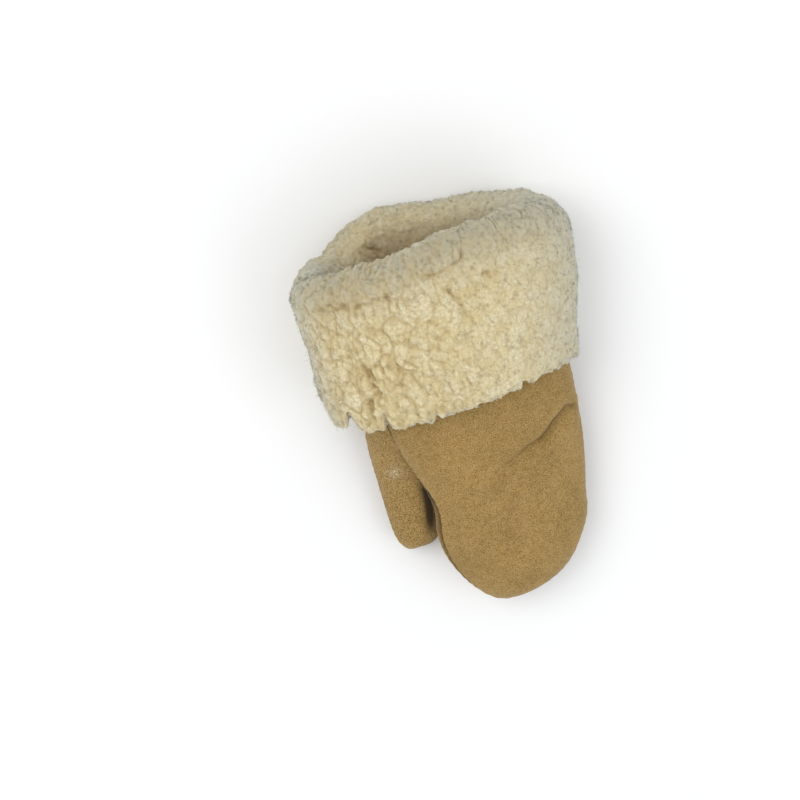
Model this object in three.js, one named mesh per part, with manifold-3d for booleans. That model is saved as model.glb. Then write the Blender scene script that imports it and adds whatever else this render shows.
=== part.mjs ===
// A left-hand sheepskin mitten lying palm down: suede outside, wool inside, its cuff turned back
// so that the wool shows. Millimetres. -Y is the fingertips and +Y the mouth, +Z is up, and the
// thumb lies on the -X side. The back and the palm are each one pelt that runs from the
// fingertips to the mouth, folds outwards there and comes back down to a raw edge.
import * as THREE from 'three';
import { mergeVertices } from 'three/addons/utils/BufferGeometryUtils.js';
import Module from 'manifold-3d';

const wasm = await Module();
wasm.setup();

// Driving dimensions
const handLength = 149; // fingertips to the lower edge of the cuff
const handWidth = 98;
const handThickness = 50;
const cuffDepth = 93; // lower edge of the cuff to the fold of its leather
const cuffWidth = 147; // leather tube at the fold
const cuffThickness = 66; // leather tube at the fold
const cuffLift = 11; // underside of the leather tube above the ground, on its squashed wool
const thumbLength = 106; // tip to the end of its root, inside the wrist
const thumbWidth = 43;
const thumbThickness = 32;
const thumbTipAlong = 47; // thumb tip ahead of the fingertips
const leather = 1.7;
const cuffFlare = 13; // how far the turned-back edge stands off over the thumb
const edgePress = 0.4; // share by which the wool is pressed flat at the little finger's edge
const cuffPile = 10.5; // wool on the outside of the cuff
const mouthPile = 11; // wool just inside the mouth
const liningPile = 7.5; // wool inside the hand
const mouthDepth = 34; // how far the cuff's own wool runs down inside the mouth
const layerGap = 0.8; // air between the two thicknesses of leather in the cuff
const gap = 0.3; // between neighbouring pieces
const lockDepth = 3.2; // relief of a lock of wool
const lockLength = 17;
const hemLock = 3.5; // how far the locks of the raw edge hang past each other
const weld = 1e-3;

// Sections of the hand, fingertips first. along is a share of handLength. left and right are the
// two edges as shares of half the handWidth. The heights are shares of handThickness above the
// ground: underside, top and the two edges. The seams are degrees round from the edges.
const handSections = [
  { along: 0.000, left: -0.15, right: -0.15, low: 0.44, high: 0.44, leftEdge: 0.44, rightEdge: 0.44, leftSeam: 0, rightSeam: 0 },
  { along: 0.007, left: -0.32, right: 0.06, low: 0.35, high: 0.53, leftEdge: 0.44, rightEdge: 0.44, leftSeam: 4, rightSeam: 0 },
  { along: 0.031, left: -0.46, right: 0.33, low: 0.25, high: 0.63, leftEdge: 0.44, rightEdge: 0.44, leftSeam: 8, rightSeam: -2 },
  { along: 0.075, left: -0.59, right: 0.58, low: 0.15, high: 0.72, leftEdge: 0.45, rightEdge: 0.43, leftSeam: 10, rightSeam: -5 },
  { along: 0.150, left: -0.73, right: 0.80, low: 0.03, high: 0.81, leftEdge: 0.46, rightEdge: 0.43, leftSeam: 12, rightSeam: -8 },
  { along: 0.259, left: -0.86, right: 1.00, low: -0.05, high: 0.88, leftEdge: 0.49, rightEdge: 0.42, leftSeam: 15, rightSeam: -10 },
  { along: 0.381, left: -0.92, right: 1.08, low: -0.07, high: 0.94, leftEdge: 0.57, rightEdge: 0.43, leftSeam: 17, rightSeam: -10 },
  { along: 0.517, left: -0.91, right: 1.17, low: -0.07, high: 0.99, leftEdge: 0.68, rightEdge: 0.46, leftSeam: 14, rightSeam: -10 },
  { along: 0.646, left: -0.92, right: 1.23, low: -0.03, high: 1.04, leftEdge: 0.76, rightEdge: 0.50, leftSeam: 4, rightSeam: -10 },
  { along: 0.769, left: -1.00, right: 1.25, low: 0.05, high: 1.10, leftEdge: 0.83, rightEdge: 0.56, leftSeam: -4, rightSeam: -8 },
  { along: 0.884, left: -1.08, right: 1.27, low: 0.15, high: 1.18, leftEdge: 0.87, rightEdge: 0.65, leftSeam: -6, rightSeam: -6 },
  { along: 1.000, left: -1.16, right: 1.27, low: 0.22, high: 1.28, leftEdge: 0.89, rightEdge: 0.74, leftSeam: -4, rightSeam: -4 }
];

// Sections of the cuff's leather tube, from its lower edge to past the fold. along is a share of
// cuffDepth, the edges are shares of half the cuffWidth, and the heights are shares of
// cuffThickness above cuffLift.
const cuffSections = [
  { along: 0.18, left: -0.84, right: 0.85, low: 0.00, high: 0.88, leftEdge: 0.51, rightEdge: 0.46, leftSeam: -2, rightSeam: -2 },
  { along: 0.44, left: -0.94, right: 0.88, low: 0.00, high: 0.95, leftEdge: 0.52, rightEdge: 0.50, leftSeam: 0, rightSeam: 0 },
  { along: 0.73, left: -0.99, right: 0.93, low: 0.00, high: 0.99, leftEdge: 0.52, rightEdge: 0.52, leftSeam: 0, rightSeam: 0 },
  { along: 1.02, left: -1.00, right: 0.97, low: 0.00, high: 1.02, leftEdge: 0.52, rightEdge: 0.52, leftSeam: 0, rightSeam: 0 },
  { along: 1.30, left: -0.99, right: 0.98, low: 0.00, high: 1.03, leftEdge: 0.52, rightEdge: 0.52, leftSeam: 0, rightSeam: 0 }
];

// Sections of the thumb, tip first. along is a share of thumbLength, side is its middle as a share
// of half the handWidth, wide of half the thumbWidth, rise and thick of thumbThickness.
const thumbSections = [
  { along: 0.000, side: -1.15, wide: 0.00, rise: 0.39, thick: 0.00 },
  { along: 0.010, side: -1.14, wide: 0.36, rise: 0.39, thick: 0.19 },
  { along: 0.048, side: -1.12, wide: 0.60, rise: 0.39, thick: 0.30 },
  { along: 0.125, side: -1.08, wide: 0.78, rise: 0.39, thick: 0.37 },
  { along: 0.255, side: -1.04, wide: 0.89, rise: 0.40, thick: 0.40 },
  { along: 0.425, side: -1.01, wide: 0.95, rise: 0.46, thick: 0.43 },
  { along: 0.590, side: -0.99, wide: 0.98, rise: 0.60, thick: 0.47 },
  { along: 0.735, side: -0.97, wide: 0.99, rise: 0.82, thick: 0.50 },
  { along: 0.870, side: -0.93, wide: 0.95, rise: 1.05, thick: 0.48 },
  { along: 1.000, side: -0.72, wide: 0.85, rise: 1.18, thick: 0.44 }
];

// Creases and dents pressed into the back. x and y run from one end to the other, as shares of
// half the handWidth and of handLength. deep is the groove and proud the swelling on its cuff
// side, in shares of handThickness, and wide is a share of handWidth.
const creases = [
  { x0: 1.30, y0: 0.79, x1: 0.10, y1: 0.62, deep: 0.045, proud: 0.030, wide: 0.050 },
  { x0: 0.25, y0: 0.40, x1: 0.05, y1: 0.26, deep: 0.035, proud: 0.000, wide: 0.170 },
  { x0: -0.75, y0: 0.62, x1: -0.30, y1: 0.66, deep: 0.020, proud: 0.010, wide: 0.060 }
];

// How far the fold of the cuff and its raw edge rise round the mitten, as shares of cuffDepth.
// turn is in degrees from the right edge over the back.
const cuffEdges = [
  { turn: 0, rim: -0.12, hem: 0.00 },
  { turn: 45, rim: 0.00, hem: 0.01 },
  { turn: 80, rim: 0.00, hem: -0.02 },
  { turn: 120, rim: -0.07, hem: -0.05 },
  { turn: 150, rim: -0.10, hem: -0.02 },
  { turn: 180, rim: -0.12, hem: 0.01 },
  { turn: 215, rim: -0.08, hem: 0.00 },
  { turn: 240, rim: 0.06, hem: 0.00 },
  { turn: 262, rim: 0.06, hem: 0.00 },
  { turn: 290, rim: 0.02, hem: 0.00 },
  { turn: 320, rim: -0.02, hem: 0.00 }
];

// How many steps each piece takes
const handSteps = 13; // from the fingertips to the wool of the mouth
const panelSteps = 14; // from seam to seam
const mouthSteps = 2;
const foldSteps = 3;
const turnedSteps = 3;
const thumbSteps = 12;
const thumbRound = 14;
const locksPerPanelStep = 3;
const rollSteps = 6;

const cuffEdge = handLength; // the lowest locks of the cuff
const turnedInside = layerGap;
const turnedOutside = layerGap + leather;
const fold = handLength + cuffDepth;
const halfTurn = Math.PI;
const fullTurn = 2 * Math.PI;
const radians = THREE.MathUtils.degToRad;
const smooth = THREE.MathUtils.smoothstep;

// Every section in millimetres, with a mirror row before the tip that keeps the tip round
function inMillimetres(row, start, length, halfWidth, lift, height) {
  const edges = [lift + row.leftEdge * height, lift + row.rightEdge * height];
  const middle = (edges[0] + edges[1]) / 2;
  return {
    y: start + row.along * length,
    centre: (row.left + row.right) / 2 * halfWidth,
    half: (row.right - row.left) / 2 * halfWidth,
    middle,
    tilt: (edges[1] - edges[0]) / 2,
    up: lift + row.high * height - middle,
    down: middle - lift - row.low * height,
    leftSeam: radians(row.leftSeam),
    rightSeam: radians(row.rightSeam)
  };
}

const sections = [
  ...handSections.map((row) => inMillimetres(row, 0, handLength, handWidth / 2, 0, handThickness)),
  ...cuffSections.map((row) => inMillimetres(row, handLength, cuffDepth, cuffWidth / 2, cuffLift, cuffThickness))
];
const thumbRows = thumbSections.map((row) => ({
  y: thumbTipAlong + row.along * thumbLength,
  centre: row.side * handWidth / 2,
  half: row.wide * thumbWidth / 2,
  middle: row.rise * thumbThickness,
  tilt: 0,
  up: row.thick * thumbThickness,
  down: row.thick * thumbThickness
}));
const shrinking = ['half', 'up', 'down'];

// A smooth value of one column at a place counted in rows
function columnAt(rows, column, place) {
  const i = Math.min(Math.floor(place), rows.length - 2);
  const t = place - i;
  const b = rows[i][column];
  const c = rows[i + 1][column];
  const mirrored = shrinking.includes(column) ? -c : c;
  const a = i > 0 ? rows[i - 1][column] : mirrored;
  const d = i + 2 < rows.length ? rows[i + 2][column] : 2 * c - b;
  return b + t * (c - a + t * (2 * a - 5 * b + 4 * c - d + t * (3 * (b - c) + d - a))) / 2;
}

function sectionAt(rows, place) {
  const section = {};
  for (const column of Object.keys(rows[0])) section[column] = columnAt(rows, column, place);
  return section;
}

// The place in rows where the section is y from the fingertips
function placeAt(rows, y) {
  let low = 0;
  let high = rows.length - 1;
  for (let i = 0; i < 40; i++) {
    const middle = (low + high) / 2;
    if (columnAt(rows, 'y', middle) < y) low = middle;
    else high = middle;
  }
  return (low + high) / 2;
}

// A point of a section at an angle, moved outwards by out. Offsets follow the slope of the
// outline, so that a wall keeps its thickness at the round tip too.
function pointOf(rows, place, angle, out) {
  const at = sectionAt(rows, place);
  const step = 1e-3;
  const from = Math.max(place - step, 0);
  const before = sectionAt(rows, from);
  const after = sectionAt(rows, from + 2 * step);
  const along = after.y - before.y;
  const slope = (column) => Math.hypot(along, after[column] - before[column]) || 1;
  const grow = (column) => Math.max(at[column] + out * along / slope(column), 0);
  const side = Math.cos(angle);
  const rise = Math.sin(angle);
  const vertical = rise > 0 ? 'up' : 'down';
  return new THREE.Vector3(
    at.centre + grow('half') * side,
    at.y - out * (after.half - before.half) / slope('half'),
    at.middle + at.tilt * side + grow(vertical) * rise
  );
}

// The thumb lies under the palm's edge, so the palm is lifted over it up to the crotch
const crotch = thumbTipAlong + 0.60 * thumbLength;
const crotchBlend = 20;
const thumbClearance = 1.4; // between thumb and palm at the crotch
const tipClearance = 4.4; // and towards the thumb's tip, where the two part

function overThumb(x, y, depth) {
  const end = thumbTipAlong + thumbLength;
  if (y < thumbTipAlong - 12 || y > end) return -handWidth;
  const ahead = Math.max(thumbTipAlong - y, 0);
  const at = sectionAt(thumbRows, placeAt(thumbRows, Math.max(y, thumbTipAlong + 2)));
  const parted = 1 - smooth(y, crotch - 2 * crotchBlend, crotch - crotchBlend / 2);
  const clear = THREE.MathUtils.lerp(thumbClearance, tipClearance, parted) + depth;
  const wide = at.half + clear;
  const share = (x - at.centre) / wide;
  const dome = Math.sqrt(Math.max(1 - share * share, 0));
  const fade = smooth(y, crotch - crotchBlend / 2, crotch + crotchBlend / 2) * 2 * thumbThickness;
  return at.middle + (at.up + clear) * dome - fade - ahead - 8 * Math.max(Math.abs(share) - 1, 0);
}

function soften(a, b, width) {
  const share = THREE.MathUtils.clamp(0.5 + 0.5 * (a - b) / width, 0, 1);
  return THREE.MathUtils.lerp(b, a, share) + width * share * (1 - share);
}

function creaseAt(x, y) {
  let sum = 0;
  for (const row of creases) {
    const start = new THREE.Vector2(row.x0 * handWidth / 2, row.y0 * handLength);
    const end = new THREE.Vector2(row.x1 * handWidth / 2, row.y1 * handLength);
    const run = end.clone().sub(start);
    const from = new THREE.Vector2(x, y).sub(start);
    const share = THREE.MathUtils.clamp(from.dot(run) / run.lengthSq(), 0, 1);
    const across = (from.x * run.y - from.y * run.x) / run.length();
    const beyond = from.distanceTo(run.clone().multiplyScalar(share));
    const width = row.wide * handWidth;
    const fade = 1 - 0.6 * share;
    sum -= fade * row.deep * handThickness * Math.exp(-((beyond / width) ** 2));
    const swell = Math.exp(-(((across + 2 * width) / (1.6 * width)) ** 2));
    sum += fade * row.proud * handThickness * swell * Math.exp(-((beyond / (3 * width)) ** 2));
  }
  return sum;
}

// How far an edge of the cuff rises at an angle
function edgeRise(edge, angle) {
  const turn = THREE.MathUtils.euclideanModulo(THREE.MathUtils.radToDeg(angle), 360);
  const rows = [...cuffEdges, { ...cuffEdges[0], turn: 360 }];
  const next = rows.findIndex((row) => row.turn > turn);
  const share = smooth(turn, rows[next - 1].turn, rows[next].turn);
  return cuffDepth * THREE.MathUtils.lerp(rows[next - 1][edge], rows[next][edge], share);
}

// A point of the mitten's skin at an angle from the right edge over the back, moved outwards
function skinPoint(place, angle, out) {
  const point = pointOf(sections, place, angle, out);
  const depth = Math.max(-out, 0);
  if (Math.sin(angle) > 0) {
    const share = smooth(point.y, 0.08 * handLength, 0.2 * handLength) * smooth(-point.y, -handLength, -0.85 * handLength);
    point.z += creaseAt(point.x, point.y) * share * Math.sqrt(Math.sin(angle));
  } else {
    point.z = soften(point.z, overThumb(point.x, point.y, -out), 3);
  }
  const turned = smooth(out, gap, layerGap);
  const height = smooth(point.y, handLength, handLength + 0.7 * cuffDepth);
  const pressed = edgePress * Math.max(out - turnedOutside, 0);
  point.x += cuffFlare * turned * (1 - height) * Math.min(Math.cos(angle), 0);
  point.x -= pressed * (1 - height) * Math.max(Math.cos(angle), 0);
  point.y += edgeRise('rim', angle) * height + edgeRise('hem', angle) * turned * (1 - height);
  point.z = Math.max(point.z, depth);
  return point;
}

function thumbPoint(place, angle, out) {
  const point = pointOf(thumbRows, place, angle, out);
  point.z = Math.max(point.z, Math.max(-out, 0));
  return point;
}

// Joins up a grid of points, one ring of the profile for each turn, into a closed geometry. A
// whole grid comes round to its start. Otherwise both ends are closed between the two sides of
// the profile, the first of which has the given number of points.
function closeGrid(rings, firstSide = 0) {
  const n = rings[0].length;
  const faces = [];
  const last = firstSide ? rings.length - 1 : rings.length;
  for (let i = 0; i < last; i++) {
    const next = (i + 1) % rings.length;
    for (let j = 0; j < n; j++) {
      const k = (j + 1) % n;
      faces.push([i * n + j, i * n + k, next * n + k], [i * n + j, next * n + k, next * n + j]);
    }
  }
  if (firstSide) {
    const end = last * n;
    for (const [a, b, c] of endStrip(rings[0], firstSide)) faces.push([a, c, b]);
    for (const [a, b, c] of endStrip(rings[last], firstSide)) faces.push([end + a, end + b, end + c]);
  }
  const corners = rings.flat().flatMap((p) => [p.x, p.y, p.z]);
  const geometry = new THREE.BufferGeometry();
  geometry.setAttribute('position', new THREE.Float32BufferAttribute(corners, 3));
  geometry.setIndex(faces.flat());
  return facingOut(withoutCollapsed(mergeVertices(geometry, weld)));
}

// Triangles between the two sides of a profile, always over the shorter way across
function endStrip(ring, firstSide) {
  const faces = [];
  let a = 0;
  let b = ring.length - 1;
  while (a < firstSide - 1 || b > firstSide) {
    const across = a < firstSide - 1 ? ring[a + 1].distanceTo(ring[b]) : Infinity;
    const other = b > firstSide ? ring[a].distanceTo(ring[b - 1]) : Infinity;
    if (across < other) {
      faces.push([a, a + 1, b]);
      a += 1;
    } else {
      faces.push([a, b - 1, b]);
      b -= 1;
    }
  }
  return faces;
}

function withoutCollapsed(geometry) {
  const index = geometry.index.array;
  const kept = [];
  for (let i = 0; i < index.length; i += 3) {
    const [a, b, c] = index.slice(i, i + 3);
    if (a !== b && b !== c && c !== a) kept.push(a, b, c);
  }
  geometry.setIndex(kept);
  return geometry;
}

function facingOut(geometry) {
  const index = geometry.index.array;
  const at = (i) => new THREE.Vector3().fromBufferAttribute(geometry.attributes.position, i);
  let volume = 0;
  for (let i = 0; i < index.length; i += 3) {
    volume += at(index[i]).dot(at(index[i + 1]).cross(at(index[i + 2])));
  }
  if (volume > 0) return geometry;
  const turned = [];
  for (let i = 0; i < index.length; i += 3) turned.push(index[i], index[i + 2], index[i + 1]);
  geometry.setIndex(turned);
  return geometry;
}

function toSolid(geometry) {
  return new wasm.Manifold(new wasm.Mesh({
    numProp: 3,
    vertProperties: geometry.attributes.position.array,
    triVerts: new Uint32Array(geometry.index.array)
  }));
}

function toGeometry(solid) {
  const mesh = solid.getMesh();
  const geometry = new THREE.BufferGeometry();
  geometry.setAttribute('position', new THREE.BufferAttribute(mesh.vertProperties, 3));
  geometry.setIndex(new THREE.BufferAttribute(mesh.triVerts, 1));
  return geometry;
}

function largestBody(solid) {
  return solid.decompose().sort((a, b) => b.volume() - a.volume())[0];
}

function spread(count, from, to) {
  return Array.from({ length: count + 1 }, (_, i) => from + (to - from) * i / count);
}

// The bend of a sheet round the fold: half a circle between two offsets, from outs[0] to outs[1]
function bend(outs, steps) {
  const middle = (outs[0] + outs[1]) / 2;
  const radius = (outs[0] - outs[1]) / 2;
  const crown = fold - layerGap / 2 - leather;
  return spread(steps, 0, halfTurn).map((turn) => ({
    place: placeAt(sections, crown + Math.abs(radius) * Math.sin(turn)),
    out: middle + radius * Math.cos(turn)
  }));
}

const leatherEdge = cuffEdge + 5; // the raw edge of the leather, hidden in the wool
const bendStart = placeAt(sections, fold - 6);
const mouthStart = placeAt(sections, fold - mouthDepth);
const mouthPlaces = spread(mouthSteps, mouthStart, bendStart);
const handPlaces = [...spread(handSteps, 0, mouthStart).slice(0, -1), ...mouthPlaces];
const turnedPlaces = spread(turnedSteps, bendStart, placeAt(sections, leatherEdge));

// One panel: up the suede face, round the fold and down to the raw edge, then back on the wool face
const panelProfile = [
  ...handPlaces.map((place) => ({ place, out: 0 })),
  ...bend([0, turnedInside], foldSteps),
  ...turnedPlaces.map((place) => ({ place, out: turnedInside })),
  ...turnedPlaces.map((place) => ({ place, out: turnedOutside })).reverse(),
  ...bend([turnedOutside, -leather], foldSteps),
  ...handPlaces.map((place) => ({ place, out: -leather })).reverse()
];

function seamAngles(place, upper) {
  const at = sectionAt(sections, place);
  const right = at.rightSeam;
  const left = halfTurn - at.leftSeam;
  return upper ? [right, left] : [left, fullTurn + right];
}

// A point between the two seams of the back or the palm, share of the way across
function panelPoint(point, share, upper, bump = 0) {
  const [from, to] = seamAngles(point.place, upper);
  const at = skinPoint(point.place, THREE.MathUtils.lerp(from, to, share), point.out + bump * (point.outward ?? 0));
  at.y += bump * (point.forward ?? 0);
  at.z = Math.max(at.z + (upper ? gap / 2 : -gap / 2), 0);
  return at;
}

function panelRings(profile, upper) {
  return spread(panelSteps, 0, 1).map((share) => profile.map((point) => panelPoint(point, share, upper)));
}

function makePanel(upper) {
  return closeGrid(panelRings(panelProfile, upper), panelProfile.length / 2);
}

// The wool of the cuff: up from the raw edge over the outside, round the mouth and down inside,
// then back along the leather. Each point knows which way its locks stand.
const woolBack = turnedOutside + gap;
const woolFace = woolBack + cuffPile;
const mouthBack = -leather - gap;
const mouthFace = mouthBack - mouthPile;
const hemRound = 8;

function woolProfile() {
  const crown = fold - layerGap / 2 - leather;
  const rows = Math.round((crown - cuffEdge - hemRound) / (lockLength / 2));
  const inner = Math.round(mouthDepth / (lockLength / 2));
  const radius = (woolFace - mouthFace) / 2;
  const middle = (woolFace + mouthFace) / 2;
  const at = (y, out, outward, forward) => ({ place: placeAt(sections, y), out, outward, forward });
  const face = [
    at(cuffEdge, woolBack + 0.25 * cuffPile, 0, -1),
    at(cuffEdge + 0.2 * hemRound, woolBack + 0.7 * cuffPile, 0.5, -0.7),
    ...spread(rows, cuffEdge + hemRound, crown).map((y) => at(y, woolFace, 1, 0)),
    ...spread(rollSteps + 1, 0, halfTurn).slice(1, -1).map((turn) => at(
      crown + radius * Math.sin(turn), middle + radius * Math.cos(turn), Math.cos(turn), Math.sin(turn)
    )),
    ...spread(inner, crown, fold - mouthDepth).map((y) => at(y, mouthFace, -1, 0))
  ];
  const back = [
    ...mouthPlaces.map((place) => ({ place, out: mouthBack })),
    ...bend([mouthBack, woolBack], foldSteps),
    ...turnedPlaces.map((place) => ({ place, out: woolBack }))
  ];
  return { face, back };
}

// Staggered locks, two steps long and two steps wide, flat against the seams
function lockRelief(row, column, columns) {
  const edge = Math.min(column, columns - column, 3) / 3;
  if (row === 0) return (column % 3 === 0 ? hemLock : 0) * edge;
  const tall = (row % 2 === 1) === ((column + Math.floor(row / 2)) % 2 === 1);
  const uneven = 0.75 + 0.25 * Math.sin(2.3 * row + 1.7 * column);
  return edge * lockDepth * (tall ? 0.5 * uneven : -0.5 * uneven);
}

// The back of the wool lies flat on the facets of the leather, and the locks stand on its face
function makeFleece(upper) {
  const { face, back } = woolProfile();
  const columns = panelSteps * locksPerPanelStep;
  const rings = spread(columns, 0, 1).map((share, column) => {
    const step = Math.min(Math.floor(column / locksPerPanelStep), panelSteps - 1);
    const blend = column / locksPerPanelStep - step;
    return [
      ...face.map((point, row) => panelPoint(point, share, upper, lockRelief(row, column, columns))),
      ...back.map((point) => panelPoint(point, step / panelSteps, upper)
        .lerp(panelPoint(point, (step + 1) / panelSteps, upper), blend))
    ];
  });
  return closeGrid(rings, face.length);
}

// Wool inside the hand, closed at the fingertips and open under the cuff's own wool. Its outer
// face keeps to the facets of the leather.
function makeLining() {
  const end = placeAt(sections, fold - mouthDepth - 1.5);
  const places = [...handPlaces.filter((place) => place < end - 0.05), end];
  const leatherFace = allRound(places.map((place) => ({ place, out: -leather })));
  const woolFace = allRound(places.map((place) => ({ place, out: -leather - liningPile })));
  const rings = leatherFace.map((ring, i) => [
    ...woolFace[i],
    ...ring.map((point, j) => point.lerp(woolFace[i][j], 2 * gap / liningPile)).reverse()
  ]);
  return closeGrid(rings);
}

// Rings all the way round the hand, through the same places as the columns of the two panels
function allRound(profile) {
  const shares = spread(panelSteps, 0, 1).slice(0, -1);
  return [true, false].flatMap((upper) => shares.map((share) => profile.map((point) => {
    const [from, to] = seamAngles(point.place, upper);
    return skinPoint(point.place, THREE.MathUtils.lerp(from, to, share), point.out);
  })));
}

// Filled bodies to cut with, closed by a last point in the middle of their wide end
function closeEnd(rings) {
  const ends = rings.map((ring) => ring[ring.length - 1]);
  const middle = ends.reduce((sum, point) => sum.add(point), new THREE.Vector3()).divideScalar(ends.length);
  return toSolid(closeGrid(rings.map((ring) => [...ring, middle])));
}

function filledHand(out) {
  return closeEnd(allRound(handPlaces.filter((place) => place <= mouthStart).map((place) => ({ place, out }))));
}

function filledThumb(out) {
  const places = spread(thumbSteps, 0, thumbRows.length - 1);
  const turns = spread(thumbRound, 0, fullTurn).slice(0, -1);
  return closeEnd(turns.map((turn) => places.map((place) => thumbPoint(place, turn, out))));
}

// The thumb's two faces meet in a seam round its edge
function makeThumb() {
  const inside = filledThumb(-leather);
  const shell = filledThumb(0).subtract(inside).subtract(filledHand(gap));
  const seam = spread(2 * thumbSteps, 0, thumbRows.length - 1).map((place, i) => {
    const at = sectionAt(thumbRows, place);
    const y = i ? at.y : at.y - thumbWidth;
    const corner = (side, rise) => new THREE.Vector3(at.centre + side * thumbWidth, y, at.middle + rise * gap / 2);
    return [corner(-1, -1), corner(1, -1), corner(1, 1), corner(-1, 1)];
  });
  const faces = shell.subtract(toSolid(closeGrid(seam, 2))).decompose();
  const [first, second] = faces.sort((a, b) => b.volume() - a.volume());
  const [lower, upper] = first.boundingBox().min[2] < second.boundingBox().min[2] ? [first, second] : [second, first];
  return { inside, lower: toGeometry(lower), upper: toGeometry(upper) };
}

const suede = new THREE.MeshStandardMaterial({ color: 0xa58a58, roughness: 0.95, metalness: 0 });
const suedeThumb = new THREE.MeshStandardMaterial({ color: 0xa38a5c, roughness: 0.95, metalness: 0 });
const wool = new THREE.MeshStandardMaterial({ color: 0xd6c69c, roughness: 1, metalness: 0 });
const innerWool = new THREE.MeshStandardMaterial({ color: 0xb5a47d, roughness: 1, metalness: 0 });

const mitten = new THREE.Group();

function add(name, geometry, material) {
  const mesh = new THREE.Mesh(geometry, material);
  mesh.name = name;
  mitten.add(mesh);
}

const thumb = makeThumb();
const cutByThumb = (geometry) => toGeometry(largestBody(toSolid(geometry).subtract(thumb.inside)));
add('back_panel', makePanel(true), suede);
add('palm_panel', cutByThumb(makePanel(false)), suede);
add('thumb_outer', thumb.lower, suedeThumb);
add('thumb_inner', thumb.upper, suedeThumb);
add('hand_lining', cutByThumb(makeLining()), innerWool);
add('back_cuff_fleece', makeFleece(true), wool);
add('palm_cuff_fleece', makeFleece(false), wool);

// The origin is on the ground under the middle of the whole mitten
const middle = new THREE.Box3().setFromObject(mitten).getCenter(new THREE.Vector3());
mitten.position.set(-middle.x, -middle.y, 0);

export default mitten;
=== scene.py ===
# Left-hand sheepskin mitten lying palm down: tan suede outside, curly cream wool inside, and a
# wide cuff turned back so that its wool shows. Sizes are in millimetres until a mesh is made.
import math
import bpy
import bmesh
import numpy as np
from mathutils import Matrix, Vector


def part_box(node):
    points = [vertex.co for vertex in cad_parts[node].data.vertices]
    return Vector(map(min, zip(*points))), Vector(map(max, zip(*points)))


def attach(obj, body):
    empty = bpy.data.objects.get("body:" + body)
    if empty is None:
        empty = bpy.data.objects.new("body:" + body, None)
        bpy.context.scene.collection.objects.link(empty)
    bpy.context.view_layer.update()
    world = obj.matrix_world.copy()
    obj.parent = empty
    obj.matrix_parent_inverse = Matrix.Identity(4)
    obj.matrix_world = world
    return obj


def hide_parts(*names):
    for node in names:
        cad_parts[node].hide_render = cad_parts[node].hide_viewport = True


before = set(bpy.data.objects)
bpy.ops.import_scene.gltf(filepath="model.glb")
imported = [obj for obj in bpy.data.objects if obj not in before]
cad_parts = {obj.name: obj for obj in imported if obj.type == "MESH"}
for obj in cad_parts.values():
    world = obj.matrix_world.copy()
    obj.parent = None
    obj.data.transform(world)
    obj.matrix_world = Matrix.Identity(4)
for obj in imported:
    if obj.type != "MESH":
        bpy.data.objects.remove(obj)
scene = bpy.context.scene
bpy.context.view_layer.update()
print("frame loaded:", len(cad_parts), "nodes")

# seen as it lies: high over the fingertips, turned a little clockwise
photoView = {"tilt": 18, "roll": 17, "distance": 1.5, "right": 0.0409, "up": 0.00446, "lens": 108.87}


def addObject(name, data):
    made = bpy.data.objects.new(name, data)
    scene.collection.objects.link(made)
    return made


def placeCamera(view):
    tilt, roll = math.radians(view["tilt"]), math.radians(view["roll"])
    back = Vector((0, math.sin(tilt), math.cos(tilt)))
    level = Vector((1, 0, 0))
    rise = Vector((0, math.cos(tilt), -math.sin(tilt)))
    right = level * math.cos(roll) - rise * math.sin(roll)
    up = level * math.sin(roll) + rise * math.cos(roll)
    place = back * view["distance"] - right * view["right"] - up * view["up"]
    camera = addObject("photoCamera", bpy.data.cameras.new("photoCamera"))
    camera.data.lens = view["lens"]
    camera.data.sensor_width = 36
    turn = Matrix((right, up, back)).transposed().to_4x4()
    camera.matrix_world = Matrix.Translation(place) @ turn
    scene.camera = camera


placeCamera(photoView)

# the shape of the mitten: sections of the hand, of the cuff's leather and of the thumb
mitten = {
    "handLength": 149, "handWidth": 98, "handThickness": 50,
    "cuffDepth": 93, "cuffWidth": 147, "cuffThickness": 66, "cuffLift": 11,
    "thumbLength": 106, "thumbWidth": 43, "thumbThickness": 32, "thumbTipAlong": 47,
    "leather": 1.7, "cuffFlare": 13, "edgePress": 0.4, "cuffPile": 10.5, "mouthPile": 11,
    "liningPile": 7.5, "mouthDepth": 34, "layerGap": 0.8, "gap": 0.3, "hemRound": 8,
    "shiftX": 1.519, "waist": 3.3, "waistAlong": 77, "waistWide": 17,
}
leather, gap, layerGap = mitten["leather"], mitten["gap"], mitten["layerGap"]
cuffEdge = mitten["handLength"]
fold = mitten["handLength"] + mitten["cuffDepth"]
turnedOut = layerGap + leather
woolBack = turnedOut + gap
woolFace = woolBack + mitten["cuffPile"]
mouthBack = -leather - gap
mouthFace = mouthBack - mitten["mouthPile"]
crown = fold - layerGap / 2 - leather
bendStart = fold - 6  # where the leather and the wool begin to turn over
turnedEdge = cuffEdge + 5  # lower edge of the leather that is turned down
innerEnd = fold - mitten["mouthDepth"]  # where the cuff's wool ends in the mouth and the lining begins
shift = np.array([mitten["shiftX"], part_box("back_panel")[0][1] * 1000, 0])

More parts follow.
